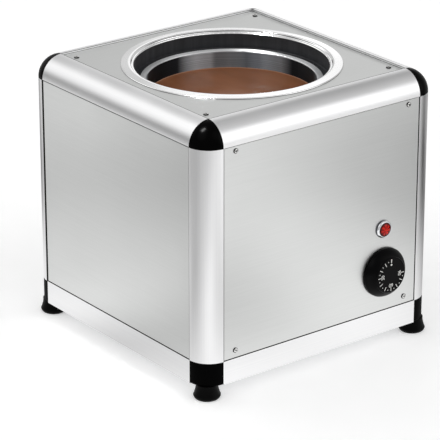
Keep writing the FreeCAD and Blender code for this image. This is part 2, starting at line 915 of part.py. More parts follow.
def control_knob():
    """Moulded knob: flared skirt, flat dial face and a hub bored for the spindle."""
    back = knob_running_gap - panel_inset
    hub_back = back + knob_hub_setback
    shoulder = knob_reach - knob_edge
    ceiling = knob_reach - knob_wall
    skirt = (knob_radius, back + knob_edge)
    brow = (knob_face_radius + knob_edge / 2, shoulder)
    dial_edge = (knob_face_radius - knob_edge / 2, knob_reach)
    shell = turned(outline(
        (knob_radius - knob_wall, back),
        (knob_radius, back),
        skirt,
        bowed(skirt, brow, knob_crown),
        bowed(brow, dial_edge, knob_edge_bow),
        (0, knob_reach),
        (0, hub_back),
        (knob_hub_radius, hub_back),
        (knob_hub_radius, ceiling),
        (knob_face_radius - knob_wall, ceiling),
        (knob_radius - knob_wall, back + knob_edge),
    ))
    shell = shell.cut(flatted_shaft(-cutter_overrun, -cutter_overrun))
    return facing(shell, side_origin("front", knob_x, knob_z), sides["front"][0])


def thermostat_bulb():
    """Sensing bulb under the floor of the well, with the capillary that joins it to the body."""
    bulb = Part.makeCylinder(bulb_radius, bulb_length, Vector(-bulb_length / 2, 0, bulb_z), Vector(1, 0, 0))
    start = Vector(knob_x, thermostat_back - half_depth, bulb_z)
    turn_in = Vector(knob_x, -capillary_bend, bulb_z)
    turn_out = Vector(knob_x - capillary_bend, 0, bulb_z)
    lean = capillary_bend * (1 - 1 / math.sqrt(2))
    middle = Vector(knob_x - lean, -lean, bulb_z)
    end = Vector(bulb_length / 2 - capillary_radius, 0, bulb_z)
    path = Part.Wire([
        Part.LineSegment(start, turn_in).toShape(),
        Part.Arc(turn_in, middle, turn_out).toShape(),
        Part.LineSegment(turn_out, end).toShape(),
    ])
    ring = Part.Wire(Part.makeCircle(capillary_radius, start, Vector(0, 1, 0)))
    tube = path.makePipeShell([ring], True, True)
    return bulb.fuse(tube)


def bulb_clip():
    """Strap bent round the bulb, its two feet spot-welded under the floor of the well."""
    inner = bulb_radius + 2 * bulb_gap
    outer = inner + clip_sheet
    half = clip_width / 2
    saddle = Part.makeCylinder(outer, clip_width, Vector(-half, 0, bulb_z), Vector(1, 0, 0))
    sheath = saddle.fuse(box(-half, half, -outer, outer, bulb_z, well_floor_under))
    feet = box(-half, half, -outer - clip_foot, outer + clip_foot,
               well_floor_under - clip_sheet, well_floor_under)
    clip = sheath.fuse(feet)
    end = half + cutter_overrun
    channel = Part.makeCylinder(inner, 2 * end, Vector(-end, 0, bulb_z), Vector(1, 0, 0))
    gap = box(-end, end, -inner, inner, bulb_z, well_floor_under + cutter_overrun)
    return clip.cut([channel, gap]).removeSplitter()


def lamp_bezel():
    """Plated bezel: a domed ring in front and a threaded neck through the panel."""
    back = -panel_inset
    cup = lens_radius + spigot_clearance
    neck_inner = lamp_neck_radius - lamp_neck_wall
    foot_edge = (bezel_radius, back)
    crest = (cup + bezel_lip, bezel_reach)
    ring = turned(outline(
        (neck_inner, -lamp_neck_length),
        (lamp_neck_radius, -lamp_neck_length),
        (lamp_neck_radius, back),
        foot_edge,
        bowed(foot_edge, crest, bezel_bow),
        (cup, bezel_reach),
        (cup, lens_seat),
        (neck_inner, lens_seat),
    ))
    return facing(ring, side_origin("front", lamp_x, lamp_z), sides["front"][0])


def lamp_lens():
    """Red lens: a cut dome with flat facets round a small flat top, seated in the bezel."""
    rows = [
        (lens_radius, lens_seat),
        (lens_radius, bezel_reach),
        (lens_radius * lens_shoulder, lens_reach - lens_shoulder_drop),
        (lens_radius * lens_table, lens_reach),
    ]
    angles = [2 * math.pi * i / lens_facets for i in range(lens_facets + 1)]
    rings = []
    for radius, z in rows:
        points = [Vector(radius * math.cos(a), radius * math.sin(a), z) for a in angles]
        rings.append(Part.makePolygon(points))
    lens = Part.makeLoft(rings, True, True)
    return facing(lens, side_origin("front", lamp_x, lamp_z), sides["front"][0])


def lamp_body():
    """Lamp insert: plug in the neck of the bezel, socket behind it and two blade terminals."""
    inner = lamp_neck_radius - lamp_neck_wall
    seat = -lamp_neck_length
    insert = rod(inner, seat, lens_seat).fuse(rod(lamp_neck_radius, seat - lamp_body_length, seat))
    root = seat - lamp_body_length
    for s in (-1, 1):
        side = s * blade_spacing / 2
        blade = box(side - blade_thickness / 2, side + blade_thickness / 2,
                    -blade_width / 2, blade_width / 2, root - blade_length, root)
        insert = insert.fuse(blade)
    return facing(insert.removeSplitter(), side_origin("front", lamp_x, lamp_z), sides["front"][0])


def lamp_nut():
    """Thin nut that clamps the bezel from behind the panel."""
    nut = hexagon(lamp_nut_across_flats, -panel_seat - lamp_nut_thickness, -panel_seat,
                  lamp_neck_radius + thread_clearance)
    return facing(nut, side_origin("front", lamp_x, lamp_z), sides["front"][0])


def gland_origin():
    """Where the axis of the cable gland meets the back plane of the housing."""
    return side_origin("back", -gland_x, gland_z)


def cable_gland_body():
    """Gland body: hexagon outside the back panel and a hollow thread through it."""
    hexagon_part = hexagon(gland_hex, -panel_inset, gland_hex_thickness - panel_inset, gland_bore_radius)
    thread_end = -panel_inset - gland_thread_length
    thread = rod(gland_thread_radius, thread_end, -panel_inset)
    thread = thread.cut(rod(gland_bore_radius, thread_end - cutter_overrun, cutter_overrun))
    return facing(hexagon_part.fuse(thread).removeSplitter(), gland_origin(), sides["back"][0])


def cable_gland_cap():
    """Dome nut of the gland, its hexagon turned to a rounded nose."""
    low = gland_hex_thickness - panel_inset
    blank = hexagon(gland_cap_hex, low, gland_reach, gland_bore_radius)
    reach = gland_cap_hex / math.sqrt(3)
    shoulder = (reach, low + gland_cap_straight)
    tip = (gland_nose_radius, gland_reach)
    nose = turned(outline(
        (0, low),
        (reach, low),
        shoulder,
        bowed(shoulder, tip, gland_nose_bow),
        (0, gland_reach),
    ))
    return facing(blank.common(nose), gland_origin(), sides["back"][0])


def cable_gland_nut():
    """Lock nut of the gland against the inner face of the back panel."""
    nut = hexagon(gland_hex, -panel_seat - gland_nut_thickness, -panel_seat,
                  gland_thread_radius + thread_clearance)
    return facing(nut, gland_origin(), sides["back"][0])


def terminal_block():
    """Terminal block on the base plate: a foot and one tower with two screw wells per pole."""
    half = terminal_poles * terminal_pitch / 2
    deep = terminal_depth / 2
    block = box(-half - terminal_ear, half + terminal_ear, -deep, deep, 0, terminal_foot_height)
    top = terminal_foot_height + terminal_tower_height
    inner = deep - terminal_tower_inset
    for pole in range(terminal_poles):
        mid = (pole - (terminal_poles - 1) / 2) * terminal_pitch
        tower = box(mid - terminal_tower / 2, mid + terminal_tower / 2, -inner, inner,
                    terminal_foot_height, top)
        block = block.fuse(tower)
        for s in (-1, 1):
            screw_well = rod(terminal_hole_radius, top - terminal_hole_depth, top, mid, s * deep / 2)
            block = block.cut(screw_well)
    block.translate(Vector(terminal_x, terminal_y, floor_plate_top))
    return block


def save(name, shape):
    """Writes one piece under its own name and says what it holds."""
    solids = shape.Solids
    print(f"{name:28s} solids {len(solids):2d}  valid {shape.isValid()}  volume {shape.Volume:12.1f}")
    shape = solids[0] if len(solids) == 1 else Part.makeCompound(solids)
    shape.exportStep(f"parts/{name}.step")


def main():
    """Builds every piece and writes it to parts/."""
    os.makedirs("parts", exist_ok=True)
    for corner, (sx, sy) in corners.items():
        save(f"corner_post_{corner}", corner_post(sx, sy))
        save(f"top_cap_{corner}", top_cap(sx, sy))
        save(f"corner_block_{corner}", corner_block(sx, sy))
        save(f"foot_{corner}", foot(sx, sy))
    for name in sides:
        save(f"top_rail_{name}", top_rail(name))
        save(f"bottom_rail_{name}", bottom_rail(name))
    save("front_panel", front_panel())
    save("back_panel", back_panel())
    save("left_panel", flank_panel("left"))
    save("right_panel", flank_panel("right"))
    save("top_plate", top_plate())
    save("base_plate", base_plate())
    save("front_panel_screws", side_screws("front", panel_screw_places("front"), panel_inset))
    save("back_panel_screws", side_screws("back", panel_screw_places("back"), panel_inset))
    save("top_plate_screws", top_plate_screws())
    save("base_plate_screws", base_plate_screws())
    save("foot_screws", foot_screws())
    save("side_panel_nuts", flank_nuts())
    save("well", well())
    save("well_seal", well_seal())
    save("pan", pan())
    save("chocolate", chocolate())
    save("band_heater", band_heater())
    save("heater_clamp_screw", clamp_screw())
    save("insulation_jacket", insulation_jacket())
    save("thermostat_body", thermostat_body())
    save("thermostat_spindle", thermostat_spindle())
    save("thermostat_screws", side_screws("front", thermostat_screw_places(), panel_inset))
    save("thermostat_bulb", thermostat_bulb())
    save("bulb_clip", bulb_clip())
    save("control_knob", control_knob())
    save("lamp_bezel", lamp_bezel())
    save("lamp_lens", lamp_lens())
    save("lamp_body", lamp_body())
    save("lamp_nut", lamp_nut())
    save("cable_gland_body", cable_gland_body())
    save("cable_gland_cap", cable_gland_cap())
    save("cable_gland_nut", cable_gland_nut())
    save("terminal_block", terminal_block())


main()
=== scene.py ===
"""Looks of a one-pan chocolate melter: edge frame of satin aluminium, steel panels, heated well and pan.

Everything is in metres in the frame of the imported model: +Z up, the control panel faces -Y and the
origin is on the table under the middle of the housing. The values come first, then the helpers for
nodes, one function for each material, the pieces that are modelled here, and the stage.
"""

import json
import math

import bpy
import numpy as np
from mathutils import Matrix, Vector


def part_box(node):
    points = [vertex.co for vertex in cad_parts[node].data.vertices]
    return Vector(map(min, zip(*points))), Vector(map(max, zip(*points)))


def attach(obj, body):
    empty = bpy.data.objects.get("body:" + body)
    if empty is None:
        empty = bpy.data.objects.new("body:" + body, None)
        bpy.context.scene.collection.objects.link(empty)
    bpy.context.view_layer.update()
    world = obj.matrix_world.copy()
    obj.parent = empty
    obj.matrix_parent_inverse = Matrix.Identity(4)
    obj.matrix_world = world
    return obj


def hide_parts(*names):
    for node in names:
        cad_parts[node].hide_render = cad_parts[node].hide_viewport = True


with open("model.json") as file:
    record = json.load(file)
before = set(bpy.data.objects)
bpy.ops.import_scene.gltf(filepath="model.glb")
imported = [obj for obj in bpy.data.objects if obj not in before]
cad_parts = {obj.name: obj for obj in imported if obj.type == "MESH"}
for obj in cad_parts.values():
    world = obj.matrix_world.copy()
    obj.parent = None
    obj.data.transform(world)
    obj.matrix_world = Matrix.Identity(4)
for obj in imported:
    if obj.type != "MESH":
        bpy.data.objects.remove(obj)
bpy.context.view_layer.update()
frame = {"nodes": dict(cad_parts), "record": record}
nodes = frame["nodes"]
record = frame["record"]

mm = 0.001
scene = bpy.context.scene

# Camera: the photograph's viewing angle in degrees, without shift. The image is square. Blender
# takes the lens and the sensor in millimetres.
camera_azimuth = -37.5
camera_elevation = 21.9
camera_distance = 2885 * mm
camera_lens = 217.3
camera_sensor = 36.0
aim_sideways = -12.5 * mm
aim_height = 117.9 * mm

# Studio lamp: one small soft box, which gives gloss and metal their glint
glint_place = (-0.69, 0.064, 1.78)
glint_aim = (0, 0, 0.2)
glint_width = 0.30
glint_height = 0.50
glint_brightness = 66.0

# Pale room: its level, and the patches where it is lighter or darker. Each patch is, in degrees,
# (azimuth clockwise from +Y, elevation, full within, gone beyond), and then the change.
room_level = 0.58
room_patches = [
    (45, 19, 9, 15, 0.41),
    (39, 37, 7, 13, 0.42),
    (42, 3, 7, 14, 0.28),
    (65, 42, 10, 24, -0.22),
    (138, 16, 14, 29, 1.25),
    (333, 27, 8, 28, 0.74),
    (165, 45, 10, 24, 0.5),
    (262, 45, 12, 26, 0.7),
    (320, -2, 10, 24, -0.40),
]

# Table: how far it reaches each way, and how much its white is lifted for the camera
table_reach = 8.0
table_lift = 0.35
# Its level as the metal sees it, and the pools of light and shade on it. Each pool is, in metres,
# (x, y, full within, gone beyond), and then the change.
table_level = 0.54
table_pools = [
    (0.13, -0.65, 0.37, 0.75, 0.87),
    (0.66, -0.55, 0.26, 0.48, -0.80),
    (-0.24, -0.22, 0.08, 0.30, 0.34),
    (-0.20, 0.05, 0.06, 0.20, 0.20),
    (-0.50, 0.06, 0.05, 0.18, 0.10),
    (-0.06, -0.42, 0.09, 0.26, -0.56),
    (0.44, -0.15, 0.16, 0.36, -0.34),
    (-0.54, -0.46, 0.14, 0.40, 0.32),
    (-0.58, 0.85, 0.22, 0.52, 0.76),
    (-0.28, 0.28, 0.14, 0.30, 0.58),
    (-0.56, 0.33, 0.06, 0.22, -0.22),
    (-0.20, 0.62, 0.12, 0.36, -0.32),
    (-0.95, 1.18, 0.20, 0.42, -0.34),
    (0.90, -1.25, 0.31, 0.70, 1.20),
    (0.05, 1.00, 0.30, 0.65, -0.25),
    (1.30, 1.50, 0.60, 1.10, 0.45),
]

# Dial of the knob: marks by equal steps in degrees, dots and ticks by turns
dial_step = 15
dial_first_mark = -15
dial_marks = 18
dial_mark_outer = 18.0 * mm
dial_tick_length = 4.5 * mm
dial_tick_width = 0.75 * mm
dial_dot_radius = 0.55 * mm
dial_dot_place = 16.5 * mm
dial_dot_corners = 16
pointer_outer = 18.5 * mm
pointer_length = 4.0 * mm
pointer_width = 1.1 * mm
pointer_dot_place = 12.2 * mm
pointer_dot_radius = 1.15 * mm
dial_numbers = [("30", -90), ("60", -180), ("90", -270)]
dial_number_height = 4.0 * mm
dial_number_weight = 0.04 * mm
dial_number_place = 11.5 * mm
dial_ink = 0.05 * mm
# The numbers of the default font are this share of its size tall.
font_number_share = 0.7

# Melted chocolate: how far it keeps inside the side and the bottom of the CAD filling and below its
# top, the radius of its innermost ring of points, and the bend round its bottom
chocolate_wall_gap = 0.15 * mm
chocolate_level_drop = 0.2 * mm
chocolate_middle = 2 * mm
chocolate_bottom_bend = 9 * mm
# It is drawn up the wall by the rise, which falls off over the reach and is gone within the width,
# and at the very wall it is a thin film, painted lighter as a painted highlight.
meniscus_rise = 1.6 * mm
meniscus_reach = 2.4 * mm
meniscus_width = 3 * meniscus_reach
meniscus_highlight_width = 0.9 * mm
# Its ripples: two crossed waves, each (length, bend, length of the bend), calm near the wall
ripple_height = 0.12 * mm
ripple_calm = 12 * mm
ripple_across = (13 * mm, 0.7, 21 * mm)
ripple_along = (17 * mm, -0.8, 26 * mm)
# Points of its grid: round the axis, over the middle, up to the wall and round the bottom bend
steps_round = 160
steps_middle = 40
steps_wall = 24
steps_bend = 10

# Wall of the pan: painted reflections, in zones round it painted dull or bright. Each stop is
# (degrees clockwise from +Y, shade), and the shade slides evenly from one stop to the next.
zone_dull = "#2c2e31"
zone_dim = "#54565a"
zone_middle = "#a0a3a7"
zone_bright = "#dce0e5"
pan_reflection_zones = [
    (-150, zone_middle), (-140, zone_dull), (-108, zone_dull), (-96, zone_middle), (-76, zone_middle),
    (-66, zone_bright), (-52, zone_bright), (-42, zone_dull), (-3, zone_dull), (12, zone_bright),
    (23, zone_bright), (26, zone_middle), (36, zone_middle), (48, zone_dim), (57, zone_dim),
    (74, zone_middle), (84, zone_dull), (112, zone_dull), (126, zone_middle),
]
pan_wall_roughness = 0.55
pan_rim_roughness = 0.44
well_wall_roughness = 0.47
well_rim_roughness = 0.12

# Screw heads: painted shade, black below this depth under the top of the dome, and on a face whose
# normal points out of the panel by less than this part, fading over the next
screw_recess = 0.45 * mm
steep_face = 0.74
steep_fade = 0.06

# Lens of the lamp: the rays of a star of painted facet reflections, the part of a ray's wave where its
# shade begins and is full, the radius of the core that they leave clear, and where the rim's painted shade
# begins and is full
lens_rays = 7
ray_shade_start = 0.1
ray_shade_full = 0.7
lens_core = 1.3 * mm
lens_core_soft = 0.6 * mm
lens_rim_shade_start = 4.8 * mm
lens_rim_shade_full = 6.8 * mm

# Painted shade in the joints of the frame, black where they lie in shadow: the width that shows along each
# post, along the lower edge of each top rail, and along the rails beside the top plate
joint_shade_width = 0.03 * mm
post_joint_shade = {
    "front_left": joint_shade_width,
    "front_right": joint_shade_width,
    "back_left": 1.8 * mm,
    "back_right": joint_shade_width,
}
rail_joint_shade = {"x": 0.2 * mm, "y": 0.6 * mm}
plate_joint_shade = 0.7 * mm

# Corner of the housing, from the frame: the line that the caps stand on, the top of the band below the
# posts, the seams beside them, and the heights between which a top rail's edge is bare down to the plate
post_low, post_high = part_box("corner_post_front_right")
cap_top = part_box("top_cap_front_left")[1].z
cap_line = post_high.z
band_top = post_low.z
seam = post_high.x - (cap_top - cap_line)
plate_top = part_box("top_plate")[1].z
rail_foot = plate_top + 0.2 * mm
rail_crest = cap_top - 0.3 * mm
# The lamp's bezel has painted shade as far out from the panel as this.
bezel_shade_reach = -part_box("front_panel")[0].y + 1.6 * mm

# Pan and chocolate, from the frame: where the chocolate meets the wall, the middle of the pan's
# wall, and how far down its rim reaches
chocolate_low, chocolate_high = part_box("chocolate")
chocolate_wall = chocolate_high.x - chocolate_wall_gap
pan_wall_middle = chocolate_high.x + 0.6 * mm
pan_rim_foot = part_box("pan")[1].z - 1.0 * mm

# Rim of the well, from the frame: the painted shadow line under its edge, the crest, the crease inside the
# crest, and the step below which the wall begins
well_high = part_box("well")[1]
rim_edge_shade = plate_top + 0.30 * mm
crest_radius = well_high.x - 10.8 * mm
crease_low = well_high.z - 1.6 * mm
crease_high = well_high.z - 0.9 * mm
rim_step = well_high.z - 3.4 * mm
# The crease has a painted dark reflection on its far side: in this direction, from this far on.
dark_reflection_way = (math.sin(math.radians(37)), math.cos(math.radians(37)), 0)
dark_reflection_start = 0.5 * well_high.x
dark_reflection_fade = 8 * mm

# One finish turns into the next within this much on each side of a sharp line or a soft one.
sharp = 0.02 * mm
soft = 0.1 * mm
# Blender's noise runs from 0 to 1 but seldom leaves this range.
noise_low = 0.3
noise_high = 0.7


def linear(hex_colour):
    """An sRGB hex colour as linear RGBA: each channel by the sRGB curve."""
    channels = [int(hex_colour[i:i + 2], 16) / 255 for i in (1, 3, 5)]
    return tuple(c / 12.92 if c <= 0.04045 else ((c + 0.055) / 1.055) ** 2.4 for c in channels) + (1.0,)


def feed(tree, node, inputs):
    """Fills a node's inputs, each with a value, a hex colour, a socket, or a node's first live output."""
    for name, value in inputs.items():
        if isinstance(value, bpy.types.Node):
            value = next(output for output in value.outputs if output.enabled)
        if isinstance(value, bpy.types.NodeSocket):
            tree.links.new(value, node.inputs[name])
        else:
            node.inputs[name].default_value = linear(value) if isinstance(value, str) else value


def add_node(tree, kind, inputs=None, **settings):
    """Adds one node: first its settings, because they decide which inputs it has, and then its inputs."""
    node = tree.nodes.new(kind)
    for name, value in settings.items():
        setattr(node, name, value)
    feed(tree, node, inputs or {})
    return node


def new_material(name, colour, constants):
    """A material with one Principled shader, and the place on the piece in metres for its patterns."""
    material = bpy.data.materials.new(name)
    material.use_nodes = True
    tree = material.node_tree
    shader = tree.nodes["Principled BSDF"]
    feed(tree, shader, {"Base Color": colour, **constants})
    place = add_node(tree, "ShaderNodeTexCoord").outputs["Object"]
    return material, tree, shader, place


def along(axis, length, width):
    """Pitch of a grain that runs along one axis: its length there, and its width on the other two."""
    return [length if name == axis else width for name in "xyz"]


def grains(tree, place, pitch, detail=2.0):
    """Smooth noise whose grains are about pitch metres long: one length, or one for each axis."""
    scale = tuple(1 / np.broadcast_to(pitch, 3))
    scaled = add_node(tree, "ShaderNodeMapping", {"Vector": place, "Scale": scale})
    return add_node(tree, "ShaderNodeTexNoise", {"Vector": scaled, "Scale": 1.0, "Detail": detail})


def uneven(tree, pattern, low, high):
    """A pattern of noise, taken to run from low to high: two numbers, or two close colours."""
    inputs = {"Value": pattern, "From Min": noise_low, "From Max": noise_high}
    if isinstance(low, str):
        level = add_node(tree, "ShaderNodeMapRange", inputs)
        return add_node(tree, "ShaderNodeMix", {"Factor": level, "A": low, "B": high}, data_type="RGBA")
    return add_node(tree, "ShaderNodeMapRange", {**inputs, "To Min": low, "To Max": high})


def under(measure, limit, fade=sharp):
    """Bound of a share: all where the measure is below the limit, and none above it."""
    return measure, limit + fade, limit - fade


def over(measure, limit, fade=sharp):
    """Bound of a share: all where the measure is above the limit, and none below it."""
    return measure, limit - fade, limit + fade


def share(tree, *bounds):
    """1 where every bound (measure, none at, all at) is met, and 0 where one isn't.

    Each bound is a ramp that rises as far as the ramp before it, so they multiply.
    """
    top = 1.0
    for measure, none_at, all_at in bounds:
        inputs = {"Value": measure, "From Min": none_at, "From Max": all_at, "To Max": top}
        top = add_node(tree, "ShaderNodeMapRange", inputs)
    return top


def covered(tree, colour, cover, first, *others):
    """The colour, with the cover laid over it by the largest of the shares."""
    largest = first
    for other in others:
        largest = add_node(tree, "ShaderNodeMath", {0: largest, 1: other}, operation="MAXIMUM")
    return add_node(tree, "ShaderNodeMix", {"Factor": largest, "A": colour, "B": cover}, data_type="RGBA")


def turned(tree, place):
    """The distance from the z axis, the height, and both as one vector for marks left by turning."""
    flat = add_node(tree, "ShaderNodeVectorMath", {0: place, 1: (1, 1, 0)}, operation="MULTIPLY")
    radius = add_node(tree, "ShaderNodeVectorMath", {0: flat}, operation="LENGTH")
    height = add_node(tree, "ShaderNodeSeparateXYZ", {"Vector": place}).outputs["Z"]
    return radius, height, add_node(tree, "ShaderNodeCombineXYZ", {"X": radius, "Y": height})


def streaks(tree, place, angle, height):
    """Noise wrapped round the z axis: upright streaks some angle radians wide and height tall."""
    flat = add_node(tree, "ShaderNodeVectorMath", {0: place, 1: (1, 1, 0)}, operation="MULTIPLY")
    way = add_node(tree, "ShaderNodeVectorMath", {0: flat}, operation="NORMALIZE")
    inputs = {0: place, 1: (0, 0, 1), 2: way}
    wrapped = add_node(tree, "ShaderNodeVectorMath", inputs, operation="MULTIPLY_ADD")
    return grains(tree, wrapped, (angle, angle, height))


def in_shaded_joints(tree, place, kind, width):
    """Shares of an extrusion's skin that lie in its joints, black with painted shade where they lie in
    shadow.

    The band's lies above its top edge, and a post's beyond either seam of its corner. A top
    rail's lies below the cap line and along the plate, but for the edge under its crest, which
    is bare down to the plate.
    """
    x, y, z = add_node(tree, "ShaderNodeSeparateXYZ", {"Vector": place}).outputs
    if kind == "band":
        return [share(tree, over(z, band_top - width))]
    x = add_node(tree, "ShaderNodeMath", {0: x}, operation="ABSOLUTE")
    y = add_node(tree, "ShaderNodeMath", {0: y}, operation="ABSOLUTE")
    if kind == "post":
        nearer = add_node(tree, "ShaderNodeMath", {0: x, 1: y}, operation="MINIMUM")
        return [share(tree, under(nearer, seam + width))]
    farther = add_node(tree, "ShaderNodeMath", {0: x, 1: y}, operation="MAXIMUM")
    by_plate = under(farther, seam + plate_joint_shade)
    return [
        share(tree, under(z, cap_line + width)),
        share(tree, by_plate, over(z, rail_crest)),
        share(tree, by_plate, under(z, rail_foot)),
    ]


def satin_aluminium(axis, kind, width=joint_shade_width):
    """Natural anodised aluminium extrusion: soft satin shine with faint die lines along its length."""
    name = f"anodised_aluminium_{kind}_{axis}_{round(width / mm * 100)}"
    material, tree, shader, place = new_material(name, "#dfdfe0", {"Metallic": 1.0})
    # Die lines are some 0.1 mm apart; they are drawn 1.2 mm apart so that they show.
    line_length = 300 * mm
    line_width = 1.2 * mm
    line_depth = 0.0004 * mm
    cloud_size = 60 * mm
    lines = grains(tree, place, along(axis, line_length, line_width))
    skin = uneven(tree, lines, "#dededf", "#e2e2e2")
    # Painted shade: the joints are black where they lie in shadow.
    feed(tree, shader, {
        "Base Color": covered(tree, skin, "#0a0a0a", *in_shaded_joints(tree, place, kind, width)),
        "Roughness": uneven(tree, grains(tree, place, cloud_size), 0.34, 0.38),
        "Normal": add_node(tree, "ShaderNodeBump", {"Height": lines, "Distance": line_depth}),
    })
    return material


def brushed_steel(name, axis, dark, light):
    """Stainless sheet with a brushed grain: long fine scratches one way, and a broad soft shine."""
    material, tree, shader, place = new_material(name, light, {"Metallic": 1.0})
    # The grain is some 0.05 mm wide; it is drawn 0.6 mm wide so that it shows.
    grain_length = 60 * mm
    grain_width = 0.6 * mm
    grain_depth = 0.0008 * mm
    cloud_size = 80 * mm
    grain = grains(tree, place, along(axis, grain_length, grain_width), detail=3.0)
    feed(tree, shader, {
        "Base Color": uneven(tree, grain, dark, light),
        "Roughness": uneven(tree, grains(tree, place, cloud_size), 0.30, 0.34),
        "Normal": add_node(tree, "ShaderNodeBump", {"Height": grain, "Distance": grain_depth}),
    })
    return material


def well_steel():
    """Stainless well: its rim is spun and polished like a mirror, with a painted shadow line under its
    edge and a painted dark reflection in the crease inside its crest, on the far side. Below the rim's
    step the wall is painted dull and dark as painted shade, not metal, with faint upright streaks."""
    constants = {"Specular IOR Level": 0.2}
    material, tree, shader, place = new_material("polished_stainless", "#f4f4f4", constants)
    # The spinning marks are some 0.1 mm wide; they are drawn 0.8 mm wide so that they show.
    mark_width = 0.8 * mm
    mark_depth = 0.001 * mm
    streak_angle = 0.05
    streak_length = 200 * mm
    radius, height, marks = turned(tree, place)
    rings = grains(tree, marks, mark_width, detail=3.0)
    rim = uneven(tree, rings, "#f4f4f4", "#fafafa")
    wall = uneven(tree, streaks(tree, place, streak_angle, streak_length), "#27282a", "#323336")
    behind = add_node(tree, "ShaderNodeVectorMath", {0: place, 1: dark_reflection_way}, operation="DOT_PRODUCT")
    # Painted shadow line under the rim's edge, on the plate.
    edge = share(tree, over(radius, crest_radius, soft), under(height, rim_edge_shade))
    # Painted dark reflection in the crease, on the far side only.
    crease = share(
        tree,
        under(radius, crest_radius, soft),
        under(height, crease_high, 1.5 * soft),
        over(height, crease_low),
        over(behind, dark_reflection_start, dark_reflection_fade),
    )
    # Painted shade: below the rim's step the wall is dark and not metal.
    deep = share(tree, under(height, rim_step, 2 * soft))
    finish = {"Factor": deep, "A": well_rim_roughness, "B": well_wall_roughness}
    feed(tree, shader, {
        "Base Color": covered(tree, covered(tree, rim, "#141414", edge, crease), wall, deep),
        "Metallic": share(tree, over(height, rim_step, 2 * soft)),
        "Roughness": add_node(tree, "ShaderNodeMix", finish),
        "Normal": add_node(tree, "ShaderNodeBump", {"Height": rings, "Distance": mark_depth}),
    })
    return material


def reflection_zones(tree, place):
    """Painted reflections: shade by the direction from the z axis, sliding as pan_reflection_zones gives
    it.
    """
    axes = add_node(tree, "ShaderNodeSeparateXYZ", {"Vector": place}).outputs
    turn = add_node(tree, "ShaderNodeMath", {0: axes["X"], 1: axes["Y"]}, operation="ARCTAN2")
    inputs = {"Value": turn, "From Min": -math.pi, "From Max": math.pi}
    zones = add_node(tree, "ShaderNodeValToRGB", {"Fac": add_node(tree, "ShaderNodeMapRange", inputs)})
    stops = zones.color_ramp.elements
    # The ramp's own two stops carry the first and the last shade to its ends.
    stops[0].color = linear(pan_reflection_zones[0][1])
    stops[1].color = linear(pan_reflection_zones[-1][1])
    for degrees, shade in pan_reflection_zones:
        stops.new((degrees + 180) / 360).color = linear(shade)
    return zones


def pan_steel():
    """Deep-drawn stainless pan: bright outside and on its rim; inside, its fine level scratches from
    grinding draw each light out into an upright band, and painted reflections lie in zones round it, dull
    or bright."""
    constants = {"Metallic": 1.0, "Anisotropic": 0.95}
    material, tree, shader, place = new_material("drawn_stainless", "#d4d5d7", constants)
    # The scratches are some 0.1 mm wide; they are drawn 0.8 mm wide so that they show.
    scratch_width = 0.8 * mm
    upright_part = 0.1
    radius, height, marks = turned(tree, place)
    rings = grains(tree, marks, scratch_width, detail=3.0)
    rim = uneven(tree, rings, "#e6e7e8", "#f4f5f6")
    outside = uneven(tree, rings, "#b4b6b8", "#d2d4d6")
    scratches = uneven(tree, rings, "#b8b8b8", "#ffffff")
    # Painted reflections: the zones' shades, with the scratches laid over them.
    layers = {"Factor": 1.0, "A": reflection_zones(tree, place), "B": scratches}
    reflected_bands = add_node(tree, "ShaderNodeMix", layers, data_type="RGBA", blend_type="MULTIPLY")
    wall = covered(tree, outside, reflected_bands, share(tree, under(radius, pan_wall_middle, soft)))
    deep = share(tree, under(height, pan_rim_foot, 1.5 * soft))
    finish = {"Factor": deep, "A": pan_rim_roughness, "B": pan_wall_roughness}
    # Across the scratches: away from the axis on the rim and the floor. On the wall, where that way
    # points straight out, only the small upright part of it lies in the surface.
    across = {0: place, 1: (1, 1, 0), 2: (0, 0, upright_part)}
    feed(tree, shader, {
        "Base Color": covered(tree, rim, wall, deep),
        "Roughness": add_node(tree, "ShaderNodeMix", finish),
        "Tangent": add_node(tree, "ShaderNodeVectorMath", across, operation="MULTIPLY_ADD"),
    })
    return material


def black_moulding(name, colour, roughness, peel, gloss):
    """Moulded black plastic or rubber: a skin whose shine varies a little, with slight orange peel."""
    material, tree, shader, place = new_material(name, colour, {"IOR": 1.5, "Specular IOR Level": gloss})
    cloud_size = 12 * mm
    peel_size = 1.6 * mm
    skin = grains(tree, place, peel_size)
    feed(tree, shader, {
        "Roughness": uneven(tree, grains(tree, place, cloud_size), *roughness),
        "Normal": add_node(tree, "ShaderNodeBump", {"Height": skin, "Distance": peel}),
    })
    return material


def plain_metal(name, colours, roughness, grain=0.8 * mm):
    """Small plated or rolled metal piece: bright, a little uneven in colour and shine."""
    material, tree, shader, place = new_material(name, colours[1], {"Metallic": 1.0})
    mottle = grains(tree, place, grain, detail=3.0)
    feed(tree, shader, {
        "Base Color": uneven(tree, mottle, *colours),
        "Roughness": uneven(tree, mottle, *roughness),
    })
    return material


def plain_solid(name, colours, roughness, grain=2 * mm, depth=0.02 * mm):
    """Dull moulded, pressed or cast piece: mottled colour and a fine relief."""
    material, tree, shader, place = new_material(name, colours[1], {"Roughness": roughness})
    mottle = grains(tree, place, grain, detail=4.0)
    feed(tree, shader, {
        "Base Color": uneven(tree, mottle, *colours),
        "Normal": add_node(tree, "ShaderNodeBump", {"Height": mottle, "Distance": depth}),
    })
    return material


